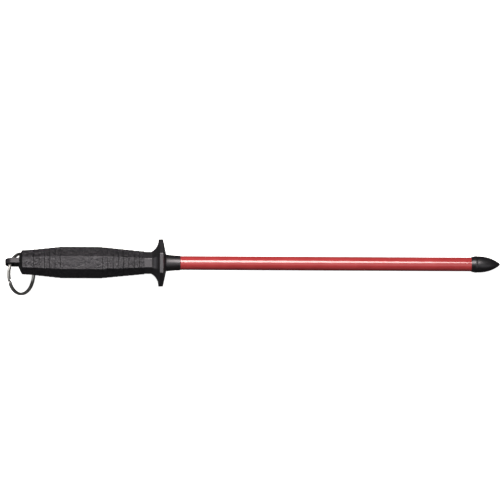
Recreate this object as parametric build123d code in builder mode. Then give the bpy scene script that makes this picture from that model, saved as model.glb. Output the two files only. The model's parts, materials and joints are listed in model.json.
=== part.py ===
from build123d import *
from math import acos, atan2, cos, hypot, radians, sin, sqrt
import os

os.makedirs("parts", exist_ok=True)

# Knife sharpening steel, in millimetres. The X axis is the rod's axis and points at the tip.
# X = 0 is the front land of the guard, where the rod's ferrule comes out of the handle.

# Rod
rod_diameter = 13.65          # outside of the ceramic sleeve
sleeve_length = 300.0         # ceramic sleeve, end to end
sleeve_bore = 7.8
core_diameter = 6.0           # steel rod that ties the whole tool together
centring_length = 10.0
centring_count = 3
sleeve_edge_chamfer = 0.3
core_end_chamfer = 0.5
socket_clearance = 0.05       # radial, sleeve in its ferrule and tip sockets

# Ferrule
ferrule_length = 14.1         # what shows in front of the guard
ferrule_base_over_rod = 3.05  # how much wider than the rod, across
ferrule_lip_over_rod = 0.95
ferrule_swell = 0.25          # how far its side is drawn in between base and lip
ferrule_socket_depth = 8.0
ferrule_spigot_diameter = 12.0
ferrule_spigot_length = 14.0
cushion_thickness = 2.0       # rubber washer behind each end of the sleeve

# Tip cap
tip_socket_depth = 5.0
tip_lip_over_rod = 1.05
tip_band_over_rod = 2.65
tip_chamfer_length = 3.8
tip_band_length = 1.4
tip_ogive_length = 22.4
tip_shoulder_drop = 0.22      # radial, from the band down to where the ogive starts
tip_shoulder_length = 0.7
tip_nose_radius = 1.6
tip_nose_angle = 58.0         # where the ogive runs into the round nose
tip_ogive_fullness = 1.45     # how far the ogive bulges out of its own chord
insert_diameter = 9.0
insert_length = 9.0
insert_collar_diameter = 10.4
insert_collar_length = 2.0

# Guard and neck, all widths across flats
guard_across_flats = 46.6
guard_rim_width = 3.9
guard_edge_break = 0.35
guard_slope_length = 3.2      # from the rim's front edge to the front land
guard_land_over_ferrule = 0.9
flare_length = 7.4            # axial, from the neck to the back of the rim
neck_setback = 0.55           # each neck flat below the grip's front flats
neck_length = 7.1

# Grip
grip_length = 120.1
grip_across_flats = 31.0
grip_rear_across_flats = 23.9
grip_front_across_flats = 22.8
band_pitch = 5.22             # from one ring of the tapers to the next
band_step = 0.32              # radial step between rings
band_step_run = 0.35
rear_first_band = 11.3
rear_step_count = 6
front_step_count = 9

# Carrier under the grip
grip_wall = 3.2               # grip over the carrier at the middle
grip_front_wall = 2.1
bore_clearance = 0.1          # radial, core rod in the carrier
rear_bore_depth = 24.0
nut_across_flats = 10.0
nut_height = 5.0
nut_corner_clearance = 0.73   # radial, nut's corners in the rear bore
washer_clearance = 0.3        # radial, washer in the rear bore
washer_thickness = 1.6
tang_end_length = 3.0         # thread past the nut

# End cap with the hanging eye
cap_bevel_length = 3.6
cap_base_setback = 0.65       # each flat of its base below the grip's rear flats
cap_small_across_flats = 9.2
cap_edge_break = 0.35
shank_gap = 1.4               # from the shank's end to the core rod's end
shank_clearance = 0.05
eye_length = 16.6             # from the grip's rear end to the eye's round end
eye_wall = 2.2                # round the hole
eye_thickness = 5.0
eye_hole_play = 3.38          # hole over the diagonal of the ring's doubled wire
eye_edge_radius = 0.9
eye_roll = 22.5               # turns the eye square to two opposite corners of the octagon
pin_diameter = 3.0
pin_setback = 7.0             # pin centre from the carrier's rear end

# Split ring
ring_outer_diameter = 42.2
ring_band_width = 2.6         # radial width of the flattened wire
ring_coil_thickness = 1.35
ring_coil_gap = 0.1
ring_corner_radius = 0.35
ring_grip_gap = 3.091         # wire's middle line to the grip's lower side facet, at the grip's rear
ring_side_turn = 35.15        # how far round the ring the eye sits from the middle of its near side
crank_angle = 202.0           # where the wire crosses from one coil to the other
crank_sweep = 26.0
crank_end_gap = 5.0           # between the crank and each end of the wire
crank_sections = 7            # wire sections lofted along the crank

# Places that follow from the sizes above
ferrule_base_diameter = rod_diameter + ferrule_base_over_rod
ferrule_lip_diameter = rod_diameter + ferrule_lip_over_rod
tip_lip_diameter = rod_diameter + tip_lip_over_rod
tip_band_diameter = rod_diameter + tip_band_over_rod
guard_land_diameter = ferrule_base_diameter + guard_land_over_ferrule
neck_across_flats = grip_front_across_flats - 2 * neck_setback
carrier_across_flats = grip_across_flats - 2 * grip_wall
carrier_end_across_flats = grip_front_across_flats - 2 * grip_front_wall
cap_base_across_flats = grip_rear_across_flats - 2 * cap_base_setback
rear_bore_diameter = nut_across_flats / cos(radians(30)) + 2 * nut_corner_clearance
washer_diameter = rear_bore_diameter - 2 * washer_clearance
doubled_wire_height = 2 * ring_coil_thickness + ring_coil_gap
eye_hole_diameter = hypot(ring_band_width, doubled_wire_height) + eye_hole_play
eye_width = eye_hole_diameter + 2 * eye_wall
guard_front = -guard_slope_length
guard_back = guard_front - guard_rim_width
neck_front = guard_back - flare_length
grip_front = neck_front - neck_length
grip_rear = grip_front - grip_length
sleeve_rear = ferrule_length - ferrule_socket_depth
sleeve_front = sleeve_rear + sleeve_length
tip_rear = sleeve_front - tip_socket_depth
tip_seat = sleeve_front + cushion_thickness
tip_band_front = tip_rear + tip_chamfer_length + tip_band_length
tip_ogive_start = tip_band_front + tip_shoulder_length
tip_end = tip_ogive_start + tip_ogive_length
insert_rear = tip_seat
insert_front = insert_rear + insert_length
washer_front = grip_rear + rear_bore_depth
nut_front = washer_front - washer_thickness
tang_end = nut_front - nut_height - tang_end_length
shank_length = tang_end - shank_gap - grip_rear
eye_end = grip_rear - eye_length
eye_centre = eye_end + eye_width / 2
prism_reach = guard_across_flats

octagon_planes = [Plane.XZ.rotated((45 * turn, 0, 0)) for turn in range(4)]
eye_plane = Plane.XZ.rotated((-eye_roll, 0, 0))


def turned_mode(turn):
    return Mode.ADD if turn == 0 else Mode.INTERSECT


def octagonal_bar(half_profile):
    # crosses four equal flat bars, which leaves an octagon wherever the profile is cut
    mirrored = [(x, -half) for x, half in reversed(half_profile)]
    for turn, plane in enumerate(octagon_planes):
        with BuildSketch(plane) as bar:
            with BuildLine():
                Polyline(*half_profile, *mirrored, close=True)
            make_face()
        extrude(bar.sketch, amount=prism_reach, both=True, mode=turned_mode(turn))


def disc(x, diameter, length, mode=Mode.ADD):
    with BuildSketch(Plane.YZ.offset(x)) as circle:
        Circle(diameter / 2)
    extrude(circle.sketch, amount=length, mode=mode)


# Grip: a ringed taper, a straight middle and a longer ringed taper
rear_taper_length = rear_first_band + (rear_step_count - 1) * band_pitch
front_taper_length = (front_step_count - 1) * band_pitch
middle_rear = grip_rear + rear_taper_length
middle_front = grip_front - front_taper_length
rear_rise = (grip_across_flats - grip_rear_across_flats) / 2 - rear_step_count * band_step
front_fall = (grip_across_flats - grip_front_across_flats) / 2 - (front_step_count - 1) * band_step
grip_profile = [(grip_rear, grip_rear_across_flats / 2)]
for ring in range(rear_step_count):
    ring_end = grip_rear + rear_first_band + ring * band_pitch
    share = (ring_end - grip_rear) / rear_taper_length
    half = grip_rear_across_flats / 2 + share * rear_rise + ring * band_step
    grip_profile.append((ring_end - band_step_run, half))
    grip_profile.append((ring_end, half + band_step))
for ring in range(front_step_count - 1):
    ring_start = middle_front + ring * band_pitch
    share = (ring_start - middle_front) / front_taper_length
    half = grip_across_flats / 2 - share * front_fall - ring * band_step
    grip_profile.append((ring_start, half))
    grip_profile.append((ring_start + band_step_run, half - band_step))
grip_profile.append((grip_front, grip_front_across_flats / 2))

carrier_profile = [
    (grip_rear, carrier_end_across_flats / 2),
    (middle_rear, carrier_across_flats / 2),
    (middle_front, carrier_across_flats / 2),
    (grip_front, carrier_end_across_flats / 2),
]

with BuildPart() as carrier_blank:
    octagonal_bar(carrier_profile)

with BuildPart() as grip:
    octagonal_bar(grip_profile)
    add(carrier_blank.part, mode=Mode.SUBTRACT)
grip.part.label = "grip"
export_step(grip.part, "parts/grip.step")

# Handle core: carrier, neck, flare and guard, bored for the core rod
rim_half = guard_across_flats / 2
flare_top = rim_half - guard_edge_break
flare_rise = flare_top - neck_across_flats / 2
flare_radius = (flare_length ** 2 + flare_rise ** 2) / (2 * flare_length)
flare_middle_angle = acos(1 - flare_length / flare_radius) / 2
flare_middle_x = guard_back - flare_radius * (1 - cos(flare_middle_angle))
flare_middle_half = flare_top - flare_radius * sin(flare_middle_angle)
with BuildPart() as handle_core:
    for turn, plane in enumerate(octagon_planes):
        with BuildSketch(plane):
            with BuildLine():
                Polyline((0, 0), (grip_front, 0), (grip_front, neck_across_flats / 2))
                Line((grip_front, neck_across_flats / 2), (neck_front, neck_across_flats / 2))
                ThreePointArc(
                    (neck_front, neck_across_flats / 2),
                    (flare_middle_x, flare_middle_half),
                    (guard_back, flare_top),
                )
                Polyline(
                    (guard_back, flare_top),
                    (guard_back + guard_edge_break, rim_half),
                    (guard_front - guard_edge_break, rim_half),
                    (guard_front, flare_top),
                    (0, guard_land_diameter / 2),
                    (0, 0),
                )
            make_face()
            mirror(about=Plane.XZ)
        extrude(amount=prism_reach, both=True, mode=turned_mode(turn))
    add(carrier_blank.part)
    bore_front = -ferrule_spigot_length
    disc(bore_front, ferrule_spigot_diameter, ferrule_spigot_length, Mode.SUBTRACT)
    disc(grip_rear, rear_bore_diameter, rear_bore_depth, Mode.SUBTRACT)
    disc(grip_rear, core_diameter + 2 * bore_clearance, -grip_rear, Mode.SUBTRACT)
    with BuildSketch(Plane.XY.offset(-grip_across_flats / 2)):
        with Locations((grip_rear + pin_setback, 0)):
            Circle(pin_diameter / 2)
    extrude(amount=grip_across_flats, mode=Mode.SUBTRACT)
handle_core.part.label = "handle_core"
export_step(handle_core.part, "parts/handle_core.step")

# End cap: bevelled octagon, shank and flat eye
with BuildPart() as end_cap:
    octagonal_bar([
        (grip_rear - cap_bevel_length, cap_small_across_flats / 2),
        (grip_rear - cap_edge_break, cap_base_across_flats / 2),
        (grip_rear, cap_base_across_flats / 2),
    ])
    with BuildSketch(eye_plane):
        with Locations((eye_centre, 0)):
            Circle(eye_width / 2)
        with Locations(((eye_centre + grip_rear - cap_edge_break) / 2, 0)):
            Rectangle(grip_rear - cap_edge_break - eye_centre, eye_width)
    extrude(amount=eye_thickness / 2, both=True)
    outer_edges = end_cap.edges().filter_by(lambda edge: edge.center().X < grip_rear - cap_bevel_length)
    fillet(outer_edges, eye_edge_radius)
    disc(grip_rear, rear_bore_diameter - 2 * shank_clearance, shank_length)
    with BuildSketch(eye_plane):
        with Locations((eye_centre, 0)):
            Circle(eye_hole_diameter / 2)
    extrude(amount=eye_thickness, both=True, mode=Mode.SUBTRACT)
    with BuildSketch(Plane.XY):
        with Locations((grip_rear + pin_setback, 0)):
            Circle(pin_diameter / 2)
    extrude(amount=grip_across_flats, both=True, mode=Mode.SUBTRACT)
end_cap.part.label = "end_cap"
export_step(end_cap.part, "parts/end_cap.step")

# Pin through the end cap's shank
with BuildPart() as end_cap_pin:
    with BuildSketch(Plane.XY.offset(-carrier_end_across_flats / 2)):
        with Locations((grip_rear + pin_setback, 0)):
            Circle(pin_diameter / 2)
    extrude(amount=carrier_end_across_flats)
end_cap_pin.part.label = "end_cap_pin"
export_step(end_cap_pin.part, "parts/end_cap_pin.step")

# Ferrule: waisted cone, socket for the sleeve and spigot into the handle
socket_half = rod_diameter / 2 + socket_clearance
core_hole_half = core_diameter / 2 + bore_clearance
rear_seat = sleeve_rear - cushion_thickness
ferrule_middle_half = (ferrule_base_diameter + ferrule_lip_diameter) / 4 - ferrule_swell
with BuildPart() as ferrule:
    with BuildSketch():
        with BuildLine():
            ThreePointArc(
                (0, ferrule_base_diameter / 2),
                (ferrule_length / 2, ferrule_middle_half),
                (ferrule_length, ferrule_lip_diameter / 2),
            )
            Polyline(
                (ferrule_length, ferrule_lip_diameter / 2),
                (ferrule_length, socket_half),
                (rear_seat, socket_half),
                (rear_seat, core_hole_half),
                (-ferrule_spigot_length, core_hole_half),
                (-ferrule_spigot_length, ferrule_spigot_diameter / 2),
                (0, ferrule_spigot_diameter / 2),
                (0, ferrule_base_diameter / 2),
            )
        make_face()
    revolve(axis=Axis.X)
ferrule.part.label = "ferrule"
export_step(ferrule.part, "parts/ferrule.step")

# Ceramic sleeve
with BuildPart() as ceramic_sleeve:
    disc(sleeve_rear, rod_diameter, sleeve_length)
    chamfer(ceramic_sleeve.edges().filter_by(GeomType.CIRCLE), sleeve_edge_chamfer)
    disc(sleeve_rear, sleeve_bore, sleeve_length, Mode.SUBTRACT)
ceramic_sleeve.part.label = "ceramic_sleeve"
export_step(ceramic_sleeve.part, "parts/ceramic_sleeve.step")

# Core rod from the tang nut to the tip insert
with BuildPart() as core_rod:
    disc(tang_end, core_diameter, insert_front - tang_end)
    chamfer(core_rod.edges().filter_by(GeomType.CIRCLE), core_end_chamfer)
core_rod.part.label = "core_rod"
export_step(core_rod.part, "parts/core_rod.step")

# Soft sleeves that keep the core rod in the middle of the ceramic
with BuildPart() as centring_sleeves:
    for place in range(centring_count):
        middle = sleeve_rear + sleeve_length * (place + 0.5) / centring_count
        with BuildSketch(Plane.YZ.offset(middle - centring_length / 2)):
            Circle(sleeve_bore / 2)
            Circle(core_diameter / 2, mode=Mode.SUBTRACT)
        extrude(amount=centring_length)
centring_sleeves.part.label = "centring_sleeves"
export_step(centring_sleeves.part, "parts/centring_sleeves.step")

# Rubber washers behind the two ends of the ceramic
with BuildPart() as rear_cushion:
    disc(rear_seat, rod_diameter, cushion_thickness)
    disc(rear_seat, core_hole_half * 2, cushion_thickness, Mode.SUBTRACT)
rear_cushion.part.label = "rear_cushion"
export_step(rear_cushion.part, "parts/rear_cushion.step")

with BuildPart() as front_cushion:
    disc(sleeve_front, rod_diameter, cushion_thickness)
    disc(sleeve_front, core_hole_half * 2, cushion_thickness, Mode.SUBTRACT)
front_cushion.part.label = "front_cushion"
export_step(front_cushion.part, "parts/front_cushion.step")

# Tip cap: socket, chamfered band, ogive and round nose
band_half = tip_band_diameter / 2
shoulder_half = band_half - tip_shoulder_drop
nose_x = tip_end - tip_nose_radius * (1 - cos(radians(tip_nose_angle)))
nose_half = tip_nose_radius * sin(radians(tip_nose_angle))
chord = Vector(nose_x - tip_ogive_start, nose_half - shoulder_half)
bulge = Vector(-chord.Y, chord.X).normalized() * tip_ogive_fullness
ogive_middle = Vector(tip_ogive_start, shoulder_half) + chord / 2 + bulge
nose_middle_angle = radians(tip_nose_angle / 2)
with BuildPart() as tip_cap:
    with BuildSketch():
        with BuildLine():
            Polyline(
                (tip_end, 0),
                (insert_front, 0),
                (insert_front, insert_diameter / 2),
                (insert_rear + insert_collar_length, insert_diameter / 2),
                (insert_rear + insert_collar_length, insert_collar_diameter / 2),
                (tip_seat, insert_collar_diameter / 2),
                (tip_seat, socket_half),
                (tip_rear, socket_half),
                (tip_rear, tip_lip_diameter / 2),
                (tip_rear + tip_chamfer_length, band_half),
                (tip_band_front, band_half),
                (tip_ogive_start, shoulder_half),
            )
            ThreePointArc((tip_ogive_start, shoulder_half), ogive_middle, (nose_x, nose_half))
            ThreePointArc(
                (nose_x, nose_half),
                (tip_end - tip_nose_radius * (1 - cos(nose_middle_angle)),
                 tip_nose_radius * sin(nose_middle_angle)),
                (tip_end, 0),
            )
        make_face()
    revolve(axis=Axis.X)
tip_cap.part.label = "tip_cap"
export_step(tip_cap.part, "parts/tip_cap.step")

# Threaded insert in the tip cap
with BuildPart() as tip_insert:
    disc(insert_rear, insert_diameter, insert_length)
    disc(insert_rear, insert_collar_diameter, insert_collar_length)
    disc(insert_rear, core_diameter, insert_length, Mode.SUBTRACT)
tip_insert.part.label = "tip_insert"
export_step(tip_insert.part, "parts/tip_insert.step")

# Washer and nut on the tang, at the bottom of the handle's rear bore
with BuildPart() as tang_washer:
    disc(nut_front, washer_diameter, washer_thickness)
    disc(nut_front, core_hole_half * 2, washer_thickness, Mode.SUBTRACT)
tang_washer.part.label = "tang_washer"
export_step(tang_washer.part, "parts/tang_washer.step")

with BuildPart() as tang_nut:
    with BuildSketch(Plane.YZ.offset(nut_front - nut_height)):
        RegularPolygon(nut_across_flats / 2, 6, major_radius=False)
        Circle(core_diameter / 2, mode=Mode.SUBTRACT)
    extrude(amount=nut_height)
tang_nut.part.label = "tang_nut"
export_step(tang_nut.part, "parts/tang_nut.step")

# Split ring: two flat coils of wire joined by one crank
ring_mean_radius = (ring_outer_diameter - ring_band_width) / 2
ring_side_shift = ring_mean_radius * sin(radians(ring_side_turn))
ring_reach = ring_mean_radius * cos(radians(ring_side_turn))
ring_near_side = ring_mean_radius - ring_side_shift
facet_reach = (grip_rear_across_flats / 2 + ring_grip_gap) * sqrt(2)
ring_lean = atan2(facet_reach - ring_near_side, grip_rear - eye_centre)
lean_cos = cos(ring_lean)
lean_sin = sin(ring_lean)
ring_centre = Vector(eye_centre + ring_reach * lean_cos, -ring_side_shift, -ring_reach * lean_sin)
ring_normal = Vector(lean_sin, 0, lean_cos)
ring_plane = Plane(origin=ring_centre, x_dir=(lean_cos, 0, -lean_sin), z_dir=ring_normal)
ring_axis = Axis(ring_centre, ring_normal)
coil_lift = (ring_coil_thickness + ring_coil_gap) / 2
coil_arc = 360 - crank_sweep - crank_end_gap
crank_start = crank_angle - crank_sweep / 2
crank_end = crank_angle + crank_sweep / 2


def wire_plane(angle, lift):
    out_x = cos(radians(angle))
    out_y = sin(radians(angle))
    spot = ring_plane.from_local_coords(Vector(ring_mean_radius * out_x, ring_mean_radius * out_y, lift))
    outward = ring_plane.x_dir * out_x + ring_plane.y_dir * out_y
    return Plane(origin=spot, x_dir=outward, z_dir=ring_normal.cross(outward))


with BuildPart() as split_ring:
    for first_angle, lift in ((crank_end + crank_end_gap, -coil_lift), (crank_end, coil_lift)):
        with BuildSketch(wire_plane(first_angle, lift)):
            RectangleRounded(ring_band_width, ring_coil_thickness, ring_corner_radius)
        revolve(axis=ring_axis, revolution_arc=coil_arc)
    for step in range(crank_sections):
        share = step / (crank_sections - 1)
        eased = share * share * (3 - 2 * share)
        with BuildSketch(wire_plane(crank_start + share * crank_sweep, coil_lift * (2 * eased - 1))):
            RectangleRounded(ring_band_width, ring_coil_thickness, ring_corner_radius)
    loft()
split_ring.part.label = "split_ring"
export_step(split_ring.part, "parts/split_ring.step")
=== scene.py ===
import json
from math import atan2, cos, pi, radians, sin, sqrt

import bpy
from mathutils import Matrix, Vector


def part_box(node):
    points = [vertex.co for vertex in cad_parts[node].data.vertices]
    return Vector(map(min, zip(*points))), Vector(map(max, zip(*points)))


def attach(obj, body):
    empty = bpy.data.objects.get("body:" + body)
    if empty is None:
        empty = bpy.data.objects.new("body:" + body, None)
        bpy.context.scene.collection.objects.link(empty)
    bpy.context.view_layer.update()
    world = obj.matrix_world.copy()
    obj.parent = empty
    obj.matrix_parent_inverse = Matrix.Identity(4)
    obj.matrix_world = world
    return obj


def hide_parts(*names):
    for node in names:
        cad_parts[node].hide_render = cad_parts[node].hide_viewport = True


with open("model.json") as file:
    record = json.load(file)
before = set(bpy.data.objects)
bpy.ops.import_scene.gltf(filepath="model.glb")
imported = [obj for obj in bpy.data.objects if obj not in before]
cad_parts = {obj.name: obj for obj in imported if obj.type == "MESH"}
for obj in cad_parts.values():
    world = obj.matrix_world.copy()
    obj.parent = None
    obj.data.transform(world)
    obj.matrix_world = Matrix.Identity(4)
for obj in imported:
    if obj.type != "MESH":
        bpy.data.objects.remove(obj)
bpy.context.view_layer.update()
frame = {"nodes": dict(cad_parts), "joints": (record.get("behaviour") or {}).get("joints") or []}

nodes = frame["nodes"]
print("frame loaded:", len(nodes), "nodes")

mm = 0.001
leastRun = 0.02 * mm  # an edge with less of X in it runs round a piece, not along it
mergeGap = 0.002 * mm
overcut = 1 * mm  # how far a cutter stands out of what it cuts
edgeSegments = 4
octagonCorner = pi / 8  # from the middle of an octagon's side to its corner
barSides = 64
spinSteps = 96
smoothAngle = 40.0
facetWeight = 50
cornerShare = 0.3  # how near a rounded corner's middle point comes to the sharp corner


def deselectAll():
    if bpy.context.object and bpy.context.object.mode != "OBJECT":
        bpy.ops.object.mode_set(mode="OBJECT")
    bpy.ops.object.select_all(action="DESELECT")


def activate(piece):
    deselectAll()
    piece.select_set(True)
    bpy.context.view_layer.objects.active = piece


def editMode():
    bpy.ops.object.mode_set(mode="EDIT")


def fixPlace():
    bpy.ops.object.transform_apply(location=True, rotation=True, scale=True)


def selectBy(piece, test, kind="faces"):
    # picks faces or edges in code, by their place or direction
    bpy.ops.mesh.select_mode(type="FACE" if kind == "faces" else "EDGE")
    bpy.ops.mesh.select_all(action="DESELECT")
    bpy.ops.object.mode_set(mode="OBJECT")
    mesh = piece.data
    for item in (mesh.polygons if kind == "faces" else mesh.edges):
        item.select = test(mesh, item)
    editMode()


def closeUp():
    # doubles merged, then every face turned outwards
    bpy.ops.mesh.select_mode(type="VERT")
    bpy.ops.mesh.select_all(action="SELECT")
    bpy.ops.mesh.remove_doubles(threshold=mergeGap)
    bpy.ops.mesh.normals_make_consistent(inside=False)
    bpy.ops.object.mode_set(mode="OBJECT")


def applyModifier(piece, kind, **settings):
    modifier = piece.modifiers.new(kind, kind)
    for key, value in settings.items():
        setattr(modifier, key, value)
    activate(piece)
    bpy.ops.object.modifier_apply(modifier=modifier.name)


def booleanWith(piece, tool, operation):
    applyModifier(piece, "BOOLEAN", operation=operation, solver="EXACT", object=tool)
    bpy.data.objects.remove(tool)


def finishPiece(piece, body, replaced, material):
    activate(piece)
    fixPlace()
    bpy.ops.object.shade_smooth_by_angle(angle=radians(smoothAngle))
    # keeps wide facets flat beside their round edges
    applyModifier(piece, "WEIGHTED_NORMAL", mode="FACE_AREA", weight=facetWeight, keep_sharp=True)
    piece.data.materials.clear()
    piece.data.materials.append(material)
    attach(piece, body)
    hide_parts(replaced)
    print("piece", piece.name, "faces", len(piece.data.polygons))


def octagonLathe(name, stations):
    # one octagon carried along X by extrude and resize; stations are (x, half width across flats)
    firstX, firstHalf = stations[0]
    deselectAll()
    bpy.ops.mesh.primitive_circle_add(
        vertices=8, radius=firstHalf / cos(octagonCorner), fill_type="NGON",
        location=(firstX, 0, 0), rotation=(0, pi / 2, 0))
    piece = bpy.context.object
    piece.name = name
    fixPlace()
    editMode()
    bpy.ops.mesh.select_all(action="SELECT")
    bpy.ops.transform.rotate(value=octagonCorner, orient_axis="X", center_override=(firstX, 0, 0))
    lastX, lastHalf = firstX, firstHalf
    for x, half in stations[1:]:
        bpy.ops.mesh.extrude_region_move(TRANSFORM_OT_translate={"value": (x - lastX, 0, 0)})
        growth = half / lastHalf
        bpy.ops.transform.resize(value=(1, growth, growth), center_override=(x, 0, 0))
        lastX, lastHalf = x, half
    closeUp()
    return piece


def roundLongEdges(piece, rearmostX, radius):
    # the octagon's lengthwise edges in front of rearmostX
    def lengthwise(mesh, edge):
        ends = [mesh.vertices[i].co.x for i in edge.vertices]
        return min(ends) > rearmostX and max(ends) - min(ends) > leastRun

    editMode()
    selectBy(piece, lengthwise, "edges")
    bpy.ops.mesh.bevel(offset=radius, segments=edgeSegments, offset_type="OFFSET", clamp_overlap=True)
    closeUp()


def roundBar(radius, length, middle, rotation):
    # a plain bar that is joined to a piece or cut out of it
    deselectAll()
    bpy.ops.mesh.primitive_cylinder_add(
        vertices=barSides, radius=radius, depth=length, location=middle, rotation=rotation)
    fixPlace()
    return bpy.context.object


def barAlongX(startX, endX, radius):
    return roundBar(radius, endX - startX, ((startX + endX) / 2, 0, 0), (0, pi / 2, 0))


def spunPiece(name, outline):
    # a closed outline of (x, radius) drawn by extruding one vertex, then spun about X
    deselectAll()
    bpy.ops.mesh.primitive_plane_add(location=(0, 0, 0))
    piece = bpy.context.object
    piece.name = name
    editMode()
    bpy.ops.mesh.select_mode(type="VERT")
    bpy.ops.mesh.select_all(action="SELECT")
    bpy.ops.mesh.merge(type="CENTER")
    last = Vector((outline[0][0], 0, outline[0][1]))
    bpy.ops.transform.translate(value=last)
    for x, radius in [*outline[1:], outline[0]]:
        here = Vector((x, 0, radius))
        bpy.ops.mesh.extrude_region_move(TRANSFORM_OT_translate={"value": here - last})
        last = here
    bpy.ops.mesh.select_all(action="SELECT")
    bpy.ops.mesh.remove_doubles(threshold=mergeGap)
    bpy.ops.mesh.select_all(action="SELECT")
    bpy.ops.mesh.spin(steps=spinSteps, angle=2 * pi, center=(0, 0, 0), axis=(1, 0, 0))
    closeUp()
    return piece


def roundedEnd(x, radius, edge, facing):
    # three points round a bar's outer corner; facing is 1 at its front end and -1 at its rear
    near = edge * cornerShare
    corner = [(x - facing * edge, radius), (x - facing * near, radius - near), (x, radius - edge)]
    return corner if facing > 0 else corner[::-1]


def arcPoints(start, middle, end, count):
    # points of the arc through three points, without its first one
    (ax, ay), (bx, by), (cx, cy) = start, middle, end
    aSquare, bSquare, cSquare = ax**2 + ay**2, bx**2 + by**2, cx**2 + cy**2
    twist = 2 * (ax * (by - cy) + bx * (cy - ay) + cx * (ay - by))
    centreX = (aSquare * (by - cy) + bSquare * (cy - ay) + cSquare * (ay - by)) / twist
    centreY = (aSquare * (cx - bx) + bSquare * (ax - cx) + cSquare * (bx - ax)) / twist
    radius = sqrt((ax - centreX) ** 2 + (ay - centreY) ** 2)
    startAngle = atan2(ay - centreY, ax - centreX)
    endAngle = atan2(cy - centreY, cx - centreX)
    sweep = (endAngle - startAngle + pi) % (2 * pi) - pi
    made = []
    for step in range(1, count + 1):
        angle = startAngle + sweep * step / count
        made.append((centreX + radius * cos(angle), centreY + radius * sin(angle)))
    return made


def srgb(hexColour):
    # sRGB hex to linear
    parts = [int(hexColour[i:i + 2], 16) / 255 for i in (0, 2, 4)]
    return (*[p / 12.92 if p <= 0.04045 else ((p + 0.055) / 1.055) ** 2.4 for p in parts], 1.0)


def addNode(tree, kind, settings=None, links=None, stops=()):
    # one node with its settings and the links into it; stops are a ramp's places and sRGB hex colours
    node = tree.nodes.new(kind)
    for key, value in (settings or {}).items():
        if key in node.inputs:
            node.inputs[key].default_value = value
        else:
            setattr(node, key, value)
    for key, source in (links or {}).items():
        tree.links.new(source, node.inputs[key])
    for index, (position, hexColour) in enumerate(stops):
        elements = node.color_ramp.elements
        stop = elements[index] if index < len(elements) else elements.new(position)
        stop.position = position
        stop.color = srgb(hexColour)
    return node


def newMaterial(name):
    # an empty node tree with the piece's own coordinates
    material = bpy.data.materials.new(name)
    material.use_nodes = True
    tree = material.node_tree
    tree.nodes.clear()
    place = addNode(tree, "ShaderNodeTexCoord").outputs["Object"]
    return material, tree, place


def perMetre(sizeMm):
    # noise scale that gives features of about this size
    return 1000.0 / sizeMm


def texturedOvermould():
    # soft polypropylene from a spark-eroded mould: a leathery grain breaks the light into a
    # fine mottle without sharp reflections; the grain is drawn coarser than life so that it shows
    values = {
        "dark": "0a090b", "light": "151317", "toneFrom": 0.34, "toneTo": 0.68, "rough": (0.34, 0.52),
        "grainMm": 1.2, "grainDepth": 0.50 * mm, "grainStrength": 0.7,
        "creaseMm": 2.6, "creaseDepth": 0.40 * mm, "creaseStrength": 0.6,
        "mottleMm": 4.2, "mottleDepth": 2.2 * mm, "mottleStrength": 0.5,
        "ior": 1.5, "specular": 0.80, "tint": "f9f7ff",
    }
    material, tree, place = newMaterial("sparkTexturedOvermould")
    grain = addNode(tree, "ShaderNodeTexNoise",
                    {"Scale": perMetre(values["grainMm"]), "Detail": 4.0, "Roughness": 0.65},
                    {"Vector": place})
    crease = addNode(tree, "ShaderNodeTexVoronoi",
                     {"Scale": perMetre(values["creaseMm"]), "feature": "F1"}, {"Vector": place})
    mottle = addNode(tree, "ShaderNodeTexNoise",
                     {"Scale": perMetre(values["mottleMm"]), "Detail": 5.0, "Roughness": 0.7,
                      "Distortion": 0.5},
                     {"Vector": place})
    tone = addNode(tree, "ShaderNodeValToRGB", None, {"Fac": mottle.outputs["Fac"]},
                   [(values["toneFrom"], values["dark"]), (values["toneTo"], values["light"])])
    rough = addNode(tree, "ShaderNodeMapRange",
                    {"From Min": 0.3, "From Max": 0.7,
                     "To Min": values["rough"][0], "To Max": values["rough"][1]},
                    {"Value": mottle.outputs["Fac"]})
    mottled = addNode(tree, "ShaderNodeBump",
                      {"Strength": values["mottleStrength"], "Distance": values["mottleDepth"]},
                      {"Height": mottle.outputs["Fac"]})
    creased = addNode(tree, "ShaderNodeBump",
                      {"Strength": values["creaseStrength"], "Distance": values["creaseDepth"]},
                      {"Height": crease.outputs["Distance"], "Normal": mottled.outputs["Normal"]})
    grained = addNode(tree, "ShaderNodeBump",
                      {"Strength": values["grainStrength"], "Distance": values["grainDepth"]},
                      {"Height": grain.outputs["Fac"], "Normal": creased.outputs["Normal"]})
    shader = addNode(tree, "ShaderNodeBsdfPrincipled",
                     {"IOR": values["ior"], "Specular IOR Level": values["specular"],
                      "Specular Tint": srgb(values["tint"])},
                     {"Base Color": tone.outputs["Color"], "Roughness": rough.outputs["Result"],
                      "Normal": grained.outputs["Normal"]})
    addNode(tree, "ShaderNodeOutputMaterial", None, {"Surface": shader.outputs["BSDF"]})
    return material


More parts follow.
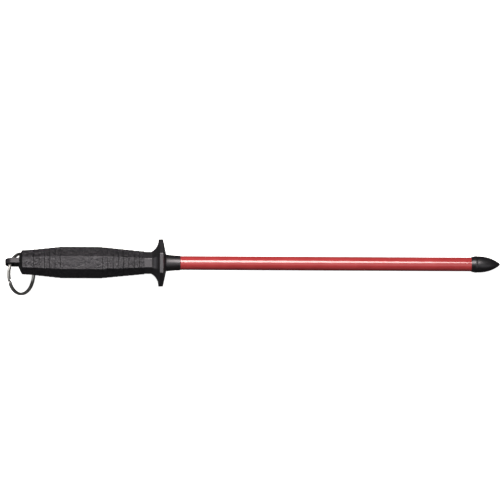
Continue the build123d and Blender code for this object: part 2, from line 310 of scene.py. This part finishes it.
def blackMoulding(name, values):
    # hard black plastic: a smooth mould gives it a satin or polished skin, with faint flow marks
    # in the tone and the gloss, and fine scuffs that soften its reflections
    material, tree, place = newMaterial(name)
    flow = addNode(tree, "ShaderNodeTexNoise",
                   {"Scale": perMetre(values["flowMm"]), "Detail": 4.0, "Roughness": 0.6,
                    "Distortion": 0.8},
                   {"Vector": place})
    drawn = addNode(tree, "ShaderNodeMapping", {"Scale": values["stretch"]}, {"Vector": place})
    scuff = addNode(tree, "ShaderNodeTexNoise", {"Scale": perMetre(values["scuffMm"]), "Detail": 2.0},
                    {"Vector": drawn.outputs["Vector"]})
    tone = addNode(tree, "ShaderNodeValToRGB", None, {"Fac": flow.outputs["Fac"]},
                   [(0.35, values["dark"]), (0.68, values["light"])])
    rough = addNode(tree, "ShaderNodeMapRange",
                    {"From Min": 0.3, "From Max": 0.7,
                     "To Min": values["rough"][0], "To Max": values["rough"][1]},
                    {"Value": flow.outputs["Fac"]})
    bump = addNode(tree, "ShaderNodeBump", {"Strength": values["bump"], "Distance": values["scuffDepth"]},
                   {"Height": scuff.outputs["Fac"]})
    shader = addNode(tree, "ShaderNodeBsdfPrincipled",
                     {"IOR": values["ior"], "Specular IOR Level": values["specular"],
                      "Specular Tint": srgb(values["tint"])},
                     {"Base Color": tone.outputs["Color"], "Roughness": rough.outputs["Result"],
                      "Normal": bump.outputs["Normal"]})
    addNode(tree, "ShaderNodeOutputMaterial", None, {"Surface": shader.outputs["BSDF"]})
    return material


def groundRedCeramic():
    # red fired alumina, ground round and finely polished: deep colour under a hard clear gloss,
    # with faint grinding rings and a slight unevenness of the colour; the rings are drawn
    # coarser than the wheel's grit so that they show
    values = {
        "deep": "a93739", "bright": "b23e40", "cloudMm": 14.0, "rough": (0.11, 0.15), "ior": 1.72,
        "ringMm": 0.9, "ringStretch": (1.0, 0.06, 0.06), "ringDepth": 0.012 * mm, "bump": 0.05,
    }
    material, tree, place = newMaterial("groundRedAlumina")
    cloud = addNode(tree, "ShaderNodeTexNoise", {"Scale": perMetre(values["cloudMm"]), "Detail": 4.0},
                    {"Vector": place})
    along = addNode(tree, "ShaderNodeMapping", {"Scale": values["ringStretch"]}, {"Vector": place})
    grind = addNode(tree, "ShaderNodeTexNoise", {"Scale": perMetre(values["ringMm"]), "Detail": 3.0},
                    {"Vector": along.outputs["Vector"]})
    tone = addNode(tree, "ShaderNodeValToRGB", None, {"Fac": cloud.outputs["Fac"]},
                   [(0.3, values["deep"]), (0.7, values["bright"])])
    rough = addNode(tree, "ShaderNodeMapRange",
                    {"From Min": 0.3, "From Max": 0.7,
                     "To Min": values["rough"][0], "To Max": values["rough"][1]},
                    {"Value": grind.outputs["Fac"]})
    bump = addNode(tree, "ShaderNodeBump", {"Strength": values["bump"], "Distance": values["ringDepth"]},
                   {"Height": grind.outputs["Fac"]})
    shader = addNode(tree, "ShaderNodeBsdfPrincipled", {"IOR": values["ior"]},
                     {"Base Color": tone.outputs["Color"], "Roughness": rough.outputs["Result"],
                      "Normal": bump.outputs["Normal"]})
    addNode(tree, "ShaderNodeOutputMaterial", None, {"Surface": shader.outputs["BSDF"]})
    return material


def metalFinish(name, values):
    # plated, drawn or turned metal: the tone and the gloss drift softly over the surface, and
    # hairlines, drawn coarser than life, break up its sharp reflections
    material, tree, place = newMaterial(name)
    wave = addNode(tree, "ShaderNodeTexNoise",
                   {"Scale": perMetre(values["waveMm"]), "Detail": 4.0, "Roughness": 0.6},
                   {"Vector": place})
    hair = addNode(tree, "ShaderNodeTexNoise", {"Scale": perMetre(values["hairMm"]), "Detail": 2.0},
                   {"Vector": place})
    tone = addNode(tree, "ShaderNodeValToRGB", None, {"Fac": wave.outputs["Fac"]},
                   [(0.3, values["dark"]), (0.7, values["light"])])
    rough = addNode(tree, "ShaderNodeMapRange",
                    {"From Min": 0.3, "From Max": 0.7,
                     "To Min": values["rough"][0], "To Max": values["rough"][1]},
                    {"Value": wave.outputs["Fac"]})
    bump = addNode(tree, "ShaderNodeBump", {"Strength": values["bump"], "Distance": values["hairDepth"]},
                   {"Height": hair.outputs["Fac"]})
    shader = addNode(tree, "ShaderNodeBsdfPrincipled", {"Metallic": 1.0},
                     {"Base Color": tone.outputs["Color"], "Roughness": rough.outputs["Result"],
                      "Normal": bump.outputs["Normal"]})
    addNode(tree, "ShaderNodeOutputMaterial", None, {"Surface": shader.outputs["BSDF"]})
    return material


def mouldedRubber():
    # nitrile rubber, moulded: dull black with a fine grey bloom
    values = {"dark": "161616", "light": "262626", "bloomMm": 2.0, "bloomDepth": 0.05 * mm, "bump": 0.3,
              "rough": (0.6, 0.8)}
    material, tree, place = newMaterial("mouldedNitrileRubber")
    bloom = addNode(tree, "ShaderNodeTexNoise", {"Scale": perMetre(values["bloomMm"]), "Detail": 4.0},
                    {"Vector": place})
    tone = addNode(tree, "ShaderNodeValToRGB", None, {"Fac": bloom.outputs["Fac"]},
                   [(0.3, values["dark"]), (0.7, values["light"])])
    rough = addNode(tree, "ShaderNodeMapRange",
                    {"To Min": values["rough"][0], "To Max": values["rough"][1]},
                    {"Value": bloom.outputs["Fac"]})
    bump = addNode(tree, "ShaderNodeBump", {"Strength": values["bump"], "Distance": values["bloomDepth"]},
                   {"Height": bloom.outputs["Fac"]})
    shader = addNode(tree, "ShaderNodeBsdfPrincipled", None,
                     {"Base Color": tone.outputs["Color"], "Roughness": rough.outputs["Result"],
                      "Normal": bump.outputs["Normal"]})
    addNode(tree, "ShaderNodeOutputMaterial", None, {"Surface": shader.outputs["BSDF"]})
    return material


overmould = texturedOvermould()
# stoned mould: satin, so the light spreads wide over each flat
moulding = blackMoulding("satinMouldedPolypropylene", {
    "dark": "0e0d0f", "light": "171618", "flowMm": 9.0, "scuffMm": 0.7, "stretch": (1, 1, 1), "bump": 0.3,
    "scuffDepth": 0.08 * mm, "rough": (0.37, 0.43), "ior": 1.56, "specular": 1.0, "tint": "faf7ff"})
# plain machined mould: a duller gloss
capBlack = blackMoulding("smoothMouldedEndCap", {
    "dark": "0c0c0d", "light": "151416", "flowMm": 5.0, "scuffMm": 0.8, "stretch": (1, 1, 1), "bump": 0.2,
    "scuffDepth": 0.04 * mm, "rough": (0.36, 0.46), "ior": 1.5, "specular": 0.45, "tint": "faf7ff"})
# polished nylon: a soft-edged bright streak runs along the cone
ferruleBlack = blackMoulding("polishedNylonFerrule", {
    "dark": "0b0a0b", "light": "121113", "flowMm": 4.0, "scuffMm": 0.5, "stretch": (1, 0.1, 0.1),
    "bump": 0.12, "scuffDepth": 0.04 * mm, "rough": (0.37, 0.44), "ior": 1.53, "specular": 0.85,
    "tint": "fcf8ff"})
# smooth mould, handled a lot: the streak is dimmer and a little blurred
tipBlack = blackMoulding("smoothMouldedTipCap", {
    "dark": "0e0d0f", "light": "171618", "flowMm": 3.0, "scuffMm": 0.8, "stretch": (0.12, 1, 1),
    "bump": 0.2, "scuffDepth": 0.04 * mm, "rough": (0.34, 0.42), "ior": 1.5, "specular": 0.7,
    "tint": "fbf8ff"})
ceramic = groundRedCeramic()
# nickel plate on tumbled spring wire: a bright satin with soft waves
ringSteel = metalFinish("nickelPlatedSpringWire", {
    "dark": "a9a8a5", "light": "cccbc7", "waveMm": 4.0, "hairMm": 0.3, "bump": 0.12, "hairDepth": 0.03 * mm,
    "rough": (0.30, 0.42)})
# zinc plate: cool, cloudy grey
zincSteel = metalFinish("zincPlatedSteel", {
    "dark": "8f9092", "light": "b4b5b8", "waveMm": 3.0, "hairMm": 0.4, "bump": 0.3, "hairDepth": 0.03 * mm,
    "rough": (0.3, 0.45)})
# bright drawn bar: silvery with a long soft sheen
drawnSteel = metalFinish("brightDrawnSteel", {
    "dark": "85868a", "light": "a9aaad", "waveMm": 6.0, "hairMm": 0.4, "bump": 0.2, "hairDepth": 0.03 * mm,
    "rough": (0.25, 0.38)})
# turned brass: yellow, with the tool's fine lines
turnedBrass = metalFinish("turnedBrass", {
    "dark": "a07c34", "light": "c9a552", "waveMm": 3.0, "hairMm": 0.4, "bump": 0.25, "hairDepth": 0.03 * mm,
    "rough": (0.22, 0.36)})
rubber = mouldedRubber()
print("materials made")


gripLow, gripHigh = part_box("grip")
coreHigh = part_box("handle_core")[1]
ferruleLow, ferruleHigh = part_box("ferrule")
sleeveLow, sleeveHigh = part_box("ceramic_sleeve")
tipLow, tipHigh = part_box("tip_cap")
swing = frame["joints"][0]
eyeCentre = Vector(swing["pos_m"])
eyeAxis = Vector(swing["axis"]).normalized()
eyeRoll = atan2(-eyeAxis.z, eyeAxis.y)
coreBoreRadius = 3.1 * mm  # clears the steel core rod
spigotRadius = 6.0 * mm  # the ferrule's tail and its hole in the guard
socketRadius = 6.875 * mm  # holds the ceramic rod at either end


gripSizes = {
    "rearHalf": 11.95 * mm, "frontHalf": 11.40 * mm, "middleHalf": gripHigh.z,
    "pitch": 5.22 * mm, "step": 0.32 * mm, "stepRun": 0.35 * mm, "groove": 0.22 * mm, "grooveRun": 0.2 * mm,
    "rearFirstBand": 11.3 * mm, "rearSteps": 6, "frontSteps": 9,
    "edgeRadius": 0.2 * mm, "wallHalf": 9.3 * mm, "wallMiddleHalf": 12.3 * mm,
}


def makeGrip(sizes):
    rearX, frontX = gripLow.x, gripHigh.x
    rearRun = sizes["rearFirstBand"] + (sizes["rearSteps"] - 1) * sizes["pitch"]
    frontRun = (sizes["frontSteps"] - 1) * sizes["pitch"]
    rise = sizes["middleHalf"] - sizes["rearHalf"] - sizes["rearSteps"] * sizes["step"]
    fall = sizes["middleHalf"] - sizes["frontHalf"] - (sizes["frontSteps"] - 1) * sizes["step"]
    stations = [(rearX, sizes["rearHalf"])]
    for ring in range(sizes["rearSteps"]):
        x = rearX + sizes["rearFirstBand"] + ring * sizes["pitch"]
        half = sizes["rearHalf"] + rise * (x - rearX) / rearRun + ring * sizes["step"]
        stations.append((x - sizes["stepRun"] - sizes["grooveRun"], half))
        stations.append((x - sizes["stepRun"], half - sizes["groove"]))
        stations.append((x, half + sizes["step"]))
    for ring in range(sizes["frontSteps"] - 1):
        x = frontX - frontRun + ring * sizes["pitch"]
        half = sizes["middleHalf"] - fall * (x - frontX + frontRun) / frontRun - ring * sizes["step"]
        stations.append((x, half))
        stations.append((x + sizes["stepRun"], half - sizes["step"] - sizes["groove"]))
        stations.append((x + sizes["stepRun"] + sizes["grooveRun"], half - sizes["step"]))
    stations.append((frontX, sizes["frontHalf"]))
    outer = octagonLathe("grip_overmould", stations)
    roundLongEdges(outer, rearX - overcut, sizes["edgeRadius"])
    inner = octagonLathe("gripHollow", [
        (rearX - overcut, sizes["wallHalf"]), (rearX, sizes["wallHalf"]),
        (rearX + rearRun, sizes["wallMiddleHalf"]), (frontX - frontRun, sizes["wallMiddleHalf"]),
        (frontX, sizes["wallHalf"]), (frontX + overcut, sizes["wallHalf"])])
    booleanWith(outer, inner, "DIFFERENCE")
    finishPiece(outer, "handle", "grip", overmould)


makeGrip(gripSizes)


guardSizes = {
    "neckHalf": 10.85 * mm, "neckLength": 7.1 * mm, "flareLength": 7.4 * mm, "rimWidth": 3.9 * mm,
    "flareRadius": 13.6 * mm, "rimEdge": 0.35 * mm, "flareSteps": 14,
    "landHalf": 8.8 * mm, "landEdgeRun": 0.25 * mm, "landEdgeDrop": 0.9 * mm,
    "carrierHalf": 9.25 * mm, "carrierMiddleHalf": 12.25 * mm,
    "carrierRise": 37.4 * mm, "carrierFall": 41.8 * mm,
    "shoulderRun": 0.002 * mm,  # the step from the carrier up to the neck, all but square
    "edgeRadius": 0.25 * mm, "spigotDepth": 14.0 * mm,
    "rearBoreRadius": 6.5 * mm, "rearBoreDepth": 24.0 * mm,
}


def makeGuard(sizes):
    carrierRear = gripLow.x
    neckRear = gripHigh.x
    neckFront = neckRear + sizes["neckLength"]
    rimBack = neckFront + sizes["flareLength"]
    rimFront = rimBack + sizes["rimWidth"]
    rimHalf = coreHigh.z
    stations = [
        (carrierRear, sizes["carrierHalf"]),
        (carrierRear + sizes["carrierRise"], sizes["carrierMiddleHalf"]),
        (neckRear - sizes["carrierFall"], sizes["carrierMiddleHalf"]),
        (neckRear - sizes["shoulderRun"], sizes["carrierHalf"]), (neckRear, sizes["neckHalf"]),
        (neckFront, sizes["neckHalf"])]
    centreX = rimBack - sizes["flareRadius"]
    centreHalf = rimHalf - sizes["rimEdge"]
    startAngle = atan2(centreHalf - sizes["neckHalf"], neckFront - centreX)
    for step in range(1, sizes["flareSteps"] + 1):
        angle = startAngle * (1 - step / sizes["flareSteps"])
        x = centreX + sizes["flareRadius"] * cos(angle)
        stations.append((x, centreHalf - sizes["flareRadius"] * sin(angle)))
    stations += [
        (rimBack + sizes["rimEdge"], rimHalf), (rimFront - sizes["rimEdge"], rimHalf),
        (rimFront, centreHalf),
        (-sizes["landEdgeRun"], sizes["landHalf"] + sizes["landEdgeDrop"]), (0, sizes["landHalf"])]
    piece = octagonLathe("guard_and_neck", stations)
    roundLongEdges(piece, neckRear - sizes["shoulderRun"] / 2, sizes["edgeRadius"])
    bores = [
        (-sizes["spigotDepth"], overcut, spigotRadius),
        (carrierRear - overcut, carrierRear + sizes["rearBoreDepth"], sizes["rearBoreRadius"]),
        (carrierRear - overcut, overcut, coreBoreRadius)]
    for startX, endX, radius in bores:
        booleanWith(piece, barAlongX(startX, endX, radius), "DIFFERENCE")
    finishPiece(piece, "handle", "handle_core", moulding)


makeGuard(guardSizes)


eyeSizes = {
    "bevelLength": 3.6 * mm, "baseHalf": 11.3 * mm, "smallHalf": 4.6 * mm, "rootEdge": 0.35 * mm,
    "eyeRadius": 5.8 * mm, "thickness": 5.0 * mm, "holeRadius": 3.6 * mm,
    "edgeRadius": 0.45 * mm, "edgeSegments": 3, "edgeAngle": 35.0,
    "shankRadius": 6.45 * mm, "shankLength": 12.9 * mm, "shankOverlap": 0.5 * mm,
}


def makeEndCap(sizes):
    baseX = gripLow.x
    cap = octagonLathe("end_cap_with_eye", [
        (baseX - sizes["bevelLength"], sizes["smallHalf"]), (baseX - sizes["rootEdge"], sizes["baseHalf"]),
        (baseX, sizes["baseHalf"])])
    alongHole = (pi / 2 - eyeRoll, 0, 0)
    eye = roundBar(sizes["eyeRadius"], sizes["thickness"], eyeCentre, alongHole)
    editMode()

    def facesCap(mesh, face):
        # the eye's round side towards the cap, without its two flats
        return face.normal.x > 0 and abs(face.normal.dot(eyeAxis)) < 0.5

    selectBy(eye, facesCap)
    reach = baseX - sizes["bevelLength"] / 2 - eyeCentre.x
    bpy.ops.mesh.extrude_region_move(TRANSFORM_OT_translate={"value": (reach, 0, 0)})
    bpy.ops.transform.resize(value=(0, 1, 1), center_override=(eyeCentre.x + reach, 0, 0))
    closeUp()
    booleanWith(cap, eye, "UNION")
    hole = roundBar(sizes["holeRadius"], 3 * sizes["thickness"], eyeCentre, alongHole)
    booleanWith(cap, hole, "DIFFERENCE")
    applyModifier(cap, "BEVEL", width=sizes["edgeRadius"], segments=sizes["edgeSegments"],
                  limit_method="ANGLE", angle_limit=radians(sizes["edgeAngle"]))
    shank = barAlongX(baseX - sizes["shankOverlap"], baseX + sizes["shankLength"], sizes["shankRadius"])
    booleanWith(cap, shank, "UNION")
    finishPiece(cap, "handle", "end_cap", capBlack)


makeEndCap(eyeSizes)


ferruleSizes = {
    "baseRadius": 8.35 * mm, "baseEdge": 0.15 * mm, "lipRadius": 7.3 * mm, "lipEdge": 0.25 * mm,
    "drawnIn": 0.25 * mm, "sideSteps": 16, "seatX": 4.1 * mm,
}


def makeFerrule(sizes):
    front, baseRadius, baseEdge = ferruleHigh.x, sizes["baseRadius"], sizes["baseEdge"]
    middle = (front / 2, (baseRadius + sizes["lipRadius"]) / 2 - sizes["drawnIn"])
    side = arcPoints((0, baseRadius), middle, (front, sizes["lipRadius"]), sizes["sideSteps"])
    outline = [(0, baseRadius - baseEdge), (baseEdge, baseRadius)]
    outline += [(x, radius) for x, radius in side if x < front - sizes["lipEdge"]]
    outline += roundedEnd(front, sizes["lipRadius"], sizes["lipEdge"], 1)
    outline += [(front, socketRadius), (sizes["seatX"], socketRadius), (sizes["seatX"], coreBoreRadius),
                (ferruleLow.x, coreBoreRadius), (ferruleLow.x, spigotRadius), (0, spigotRadius)]
    finishPiece(spunPiece("ferrule_cone", outline), "handle", "ferrule", ferruleBlack)


makeFerrule(ferruleSizes)


rodSizes = {"radius": sleeveHigh.z, "edge": 0.3 * mm, "boreRadius": 3.9 * mm, "lengthSteps": 24}


def makeRod(sizes):
    rear, front, radius, edge = sleeveLow.x, sleeveHigh.x, sizes["radius"], sizes["edge"]
    stepLength = (front - rear - 2 * edge) / sizes["lengthSteps"]
    outline = roundedEnd(rear, radius, edge, -1)
    outline += [(rear + edge + step * stepLength, radius) for step in range(1, sizes["lengthSteps"])]
    outline += roundedEnd(front, radius, edge, 1)
    outline += [(front, sizes["boreRadius"]), (rear, sizes["boreRadius"])]
    finishPiece(spunPiece("red_ceramic_rod", outline), "handle", "ceramic_sleeve", ceramic)


makeRod(rodSizes)


tipSizes = {
    "lipRadius": 7.35 * mm, "lipEdge": 0.15 * mm, "lipDrop": 0.1 * mm, "chamferLength": 3.8 * mm,
    "bandRadius": tipHigh.z, "bandLength": 1.4 * mm,
    "bandRearEase": [(-0.25 * mm, 0.03 * mm), (0.2 * mm, 0)],  # run and drop from the band's rear edge
    "bandFrontEase": [(-0.1 * mm, 0), (0.15 * mm, 0.05 * mm)],  # and from its front edge
    "shoulderDrop": 0.22 * mm, "shoulderLength": 0.7 * mm,
    "noseRadius": 1.6 * mm, "noseAngle": 62.0, "noseSteps": 8, "fullness": 1.95 * mm, "ogiveSteps": 30,
    "socketDepth": 7.0 * mm, "collarRadius": 5.2 * mm, "collarLength": 2.0 * mm,
    "insertRadius": 4.5 * mm, "insertLength": 9.0 * mm,
}


def makeTip(sizes):
    rear, end, bandRadius, noseRadius = tipLow.x, tipHigh.x, sizes["bandRadius"], sizes["noseRadius"]
    bandRear = rear + sizes["chamferLength"]
    bandFront = bandRear + sizes["bandLength"]
    ogiveStart = (bandFront + sizes["shoulderLength"], bandRadius - sizes["shoulderDrop"])
    noseAngle = radians(sizes["noseAngle"])
    nose = (end - noseRadius * (1 - cos(noseAngle)), noseRadius * sin(noseAngle))
    chord = Vector((nose[0] - ogiveStart[0], nose[1] - ogiveStart[1]))
    bulge = Vector((-chord.y, chord.x)).normalized() * sizes["fullness"]
    middle = (ogiveStart[0] + chord.x / 2 + bulge.x, ogiveStart[1] + chord.y / 2 + bulge.y)
    outline = [(rear, sizes["lipRadius"] - sizes["lipDrop"]), (rear + sizes["lipEdge"], sizes["lipRadius"])]
    outline += [(bandRear + run, bandRadius - drop) for run, drop in sizes["bandRearEase"]]
    outline += [(bandFront + run, bandRadius - drop) for run, drop in sizes["bandFrontEase"]]
    outline += [ogiveStart, *arcPoints(ogiveStart, middle, nose, sizes["ogiveSteps"])]
    for step in range(1, sizes["noseSteps"] + 1):
        angle = noseAngle * (1 - step / sizes["noseSteps"])
        outline.append((end - noseRadius * (1 - cos(angle)), noseRadius * sin(angle)))
    seat = rear + sizes["socketDepth"]
    insertFront = seat + sizes["insertLength"]
    collarFront = seat + sizes["collarLength"]
    outline += [(insertFront, 0), (insertFront, sizes["insertRadius"]),
                (collarFront, sizes["insertRadius"]), (collarFront, sizes["collarRadius"]),
                (seat, sizes["collarRadius"]), (seat, socketRadius), (rear, socketRadius)]
    finishPiece(spunPiece("tip_cap_ogive", outline), "handle", "tip_cap", tipBlack)


makeTip(tipSizes)


ringSizes = {
    "outerDiameter": 42.2 * mm, "bandWidth": 2.6 * mm, "coilThickness": 1.35 * mm, "gap": 0.1 * mm,
    "corner": 0.35 * mm, "lean": 50.0, "sideShift": 11.4 * mm, "crankAngle": 202.0, "crankSweep": 10.0,
    "endGap": 1.2, "crankSteps": 12, "coilStepDegrees": 3.0,
}


def makeRing(sizes):
    meanRadius = (sizes["outerDiameter"] - sizes["bandWidth"]) / 2
    reach = sqrt(meanRadius ** 2 - sizes["sideShift"] ** 2)
    lean = radians(sizes["lean"])
    outward = Vector((cos(lean), 0, -sin(lean)))
    side = Vector((0, 1, 0))
    normal = outward.cross(side)
    centre = eyeCentre + outward * reach - side * sizes["sideShift"]
    lift = (sizes["coilThickness"] + sizes["gap"]) / 2
    # the wire's section is drawn flat at the ring's own zero angle
    deselectAll()
    bpy.ops.mesh.primitive_plane_add(size=1, location=(meanRadius, 0, -lift), rotation=(pi / 2, 0, 0))
    piece = bpy.context.object
    piece.name = "split_ring_wire"
    piece.scale = (sizes["bandWidth"], sizes["coilThickness"], 1)
    fixPlace()
    editMode()
    bpy.ops.mesh.select_mode(type="VERT")
    bpy.ops.mesh.select_all(action="SELECT")
    bpy.ops.mesh.bevel(offset=sizes["corner"], segments=edgeSegments, affect="VERTICES",
                       offset_type="OFFSET")
    bpy.ops.mesh.select_all(action="SELECT")
    coilArc = 360 - sizes["crankSweep"] - sizes["endGap"]
    coilSteps = int(coilArc / sizes["coilStepDegrees"])

    def carrySection(steps, sweep):
        # with no window a spin turns the other way, so its angle is negative
        bpy.ops.mesh.spin(steps=steps, angle=-radians(sweep), center=(0, 0, 0), axis=(0, 0, 1))

    carrySection(coilSteps, coilArc)
    lastEase = 0.0
    for step in range(1, sizes["crankSteps"] + 1):
        share = step / sizes["crankSteps"]
        ease = share * share * (3 - 2 * share)
        carrySection(1, sizes["crankSweep"] / sizes["crankSteps"])
        bpy.ops.transform.translate(value=(0, 0, (ease - lastEase) * 2 * lift))
        lastEase = ease
    carrySection(coilSteps, coilArc)
    closeUp()
    # the ring is turned to bring its crank round, then carried to its lean in the eye
    turn = Matrix((outward, side, normal)).transposed().to_4x4()
    startAngle = radians(sizes["crankAngle"] + sizes["crankSweep"] / 2 + sizes["endGap"])
    piece.matrix_world = Matrix.Translation(centre) @ turn @ Matrix.Rotation(startAngle, 4, "Z")
    finishPiece(piece, "ring", "split_ring", ringSteel)


makeRing(ringSizes)


innerFinishes = {
    "core_rod": drawnSteel, "tang_nut": zincSteel, "tang_washer": zincSteel, "end_cap_pin": drawnSteel,
    "tip_insert": turnedBrass, "rear_cushion": rubber, "front_cushion": rubber, "centring_sleeves": rubber,
}
for nodeName, finish in innerFinishes.items():
    nodes[nodeName].data.materials.clear()
    nodes[nodeName].data.materials.append(finish)
print("inner pieces finished")


stageSizes = {
    "guardX": -3.55 * mm, "guardZ": -23.3 * mm, "tipX": 305.3 * mm, "tipZ": -8.15 * mm,
    "drop": 0.1 * mm, "floorSize": 14.0, "floorColour": "fafafa", "boardDark": "f3f3f3",
    "boardLight": "f6f6f6", "speckMm": 25.0, "boardRough": 0.9, "boardSpecular": 0.1,
    "glow": 1.0,  # a light table hides the shadows
}
# the tool lies on its guard and its tip, so the table slopes by a few degrees in the tool's own frame
tableSlope = atan2(stageSizes["tipZ"] - stageSizes["guardZ"], stageSizes["tipX"] - stageSizes["guardX"])
tableUp = Vector((-sin(tableSlope), 0, cos(tableSlope)))
tableRight = Vector((cos(tableSlope), 0, sin(tableSlope)))


def makeFloor(sizes):
    middle = Vector((sizes["guardX"], 0, sizes["guardZ"])) - tableUp * sizes["drop"]
    deselectAll()
    bpy.ops.mesh.primitive_plane_add(size=sizes["floorSize"], location=middle, rotation=(0, -tableSlope, 0))
    floor = bpy.context.object
    floor.name = "floor"
    # white laminated board, matt, with the faintest cloudiness
    material, tree, place = newMaterial("mattWhiteBoard")
    speck = addNode(tree, "ShaderNodeTexNoise", {"Scale": perMetre(sizes["speckMm"]), "Detail": 3.0},
                    {"Vector": place})
    tone = addNode(tree, "ShaderNodeValToRGB", None, {"Fac": speck.outputs["Fac"]},
                   [(0.3, sizes["boardDark"]), (0.7, sizes["boardLight"])])
    shader = addNode(tree, "ShaderNodeBsdfPrincipled",
                     {"Roughness": sizes["boardRough"], "Specular IOR Level": sizes["boardSpecular"],
                      "Emission Strength": sizes["glow"], "Emission Color": srgb(sizes["floorColour"])},
                     {"Base Color": tone.outputs["Color"]})
    addNode(tree, "ShaderNodeOutputMaterial", None, {"Surface": shader.outputs["BSDF"]})
    floor.data.materials.append(material)
    # keeps the white table's light and reflection off the black pieces
    floor.visible_glossy = False
    floor.visible_diffuse = False


makeFloor(stageSizes)


mainTilt = radians(31)  # the main softbox leans towards +Y
lights = {
    "mainSoftbox": {
        "target": (-0.09, 0, 0), "direction": (0.0, sin(mainTilt), cos(mainTilt)), "distance": 1.2,
        "size": (1.0, 0.76), "power": 22.0, "shape": "ELLIPSE", "colour": "fffaf5"},
    "overheadSoftbox": {
        "target": (0.16, 0, 0), "direction": (0.36, -0.25, 1.0), "distance": 1.6,
        "size": (1.1, 1.7), "power": 4.6},
    "sideCard": {
        "target": (-0.15, 0, 0), "direction": (-0.98, 0, 0.18), "distance": 0.35,
        "size": (0.46, 0.13), "power": 0.30},
}


def areaLight(name, target, direction, distance, size, power, shape="RECTANGLE", colour="ffffff"):
    data = bpy.data.lights.new(name, "AREA")
    data.shape = shape
    data.size, data.size_y = size
    data.energy = power
    data.color = srgb(colour)[:3]
    lamp = bpy.data.objects.new(name, data)
    bpy.context.scene.collection.objects.link(lamp)
    away = Vector(direction).normalized()
    lamp.location = Vector(target) + away * distance
    lamp.rotation_mode = "QUATERNION"
    lamp.rotation_quaternion = away.to_track_quat("Z", "Y")
    lamp.visible_camera = False


for lightName, settings in lights.items():
    areaLight(lightName, **settings)


surroundings = {"seenColour": "f6f6f6", "seenStrength": 1.0, "castColour": "ffffff", "castStrength": 0.06}


def makeWorld(values):
    # a white room to the camera, but only a faint fill to the object
    world = bpy.data.worlds.new("studio")
    world.use_nodes = True
    bpy.context.scene.world = world
    tree = world.node_tree
    tree.nodes.clear()
    path = addNode(tree, "ShaderNodeLightPath")
    cast = addNode(tree, "ShaderNodeBackground",
                   {"Color": srgb(values["castColour"]), "Strength": values["castStrength"]})
    seen = addNode(tree, "ShaderNodeBackground",
                   {"Color": srgb(values["seenColour"]), "Strength": values["seenStrength"]})
    mixed = addNode(tree, "ShaderNodeMixShader", None,
                    {"Fac": path.outputs["Is Camera Ray"], 1: cast.outputs["Background"],
                     2: seen.outputs["Background"]})
    addNode(tree, "ShaderNodeOutputWorld", None, {"Surface": mixed.outputs["Shader"]})


makeWorld(surroundings)
bpy.context.scene.view_settings.view_transform = "Standard"


cameraSizes = {
    "middleX": 82.65 * mm, "middleY": 13.15 * mm, "pictureWidth": 492.1 * mm, "rollDegrees": 0.28,
    "lens": 1000.0, "sensor": 36.0, "clipStart": 0.1, "clipEnd": 60.0,
}


def makeCamera(sizes):
    data = bpy.data.cameras.new("camera")
    data.lens, data.sensor_width = sizes["lens"], sizes["sensor"]
    data.clip_start, data.clip_end = sizes["clipStart"], sizes["clipEnd"]
    camera = bpy.data.objects.new("camera", data)
    bpy.context.scene.collection.objects.link(camera)
    distance = sizes["pictureWidth"] * sizes["lens"] / sizes["sensor"]
    aim = tableRight * sizes["middleX"] + Vector((0, sizes["middleY"], 0))
    camera.location = aim + tableUp * distance
    upright = Matrix((tableRight, Vector((0, 1, 0)), tableUp)).transposed().to_4x4()
    roll = Matrix.Rotation(radians(sizes["rollDegrees"]), 4, "Z")
    camera.rotation_mode = "QUATERNION"
    camera.rotation_quaternion = (upright @ roll).to_quaternion()
    bpy.context.scene.camera = camera


makeCamera(cameraSizes)
print("stage ready")
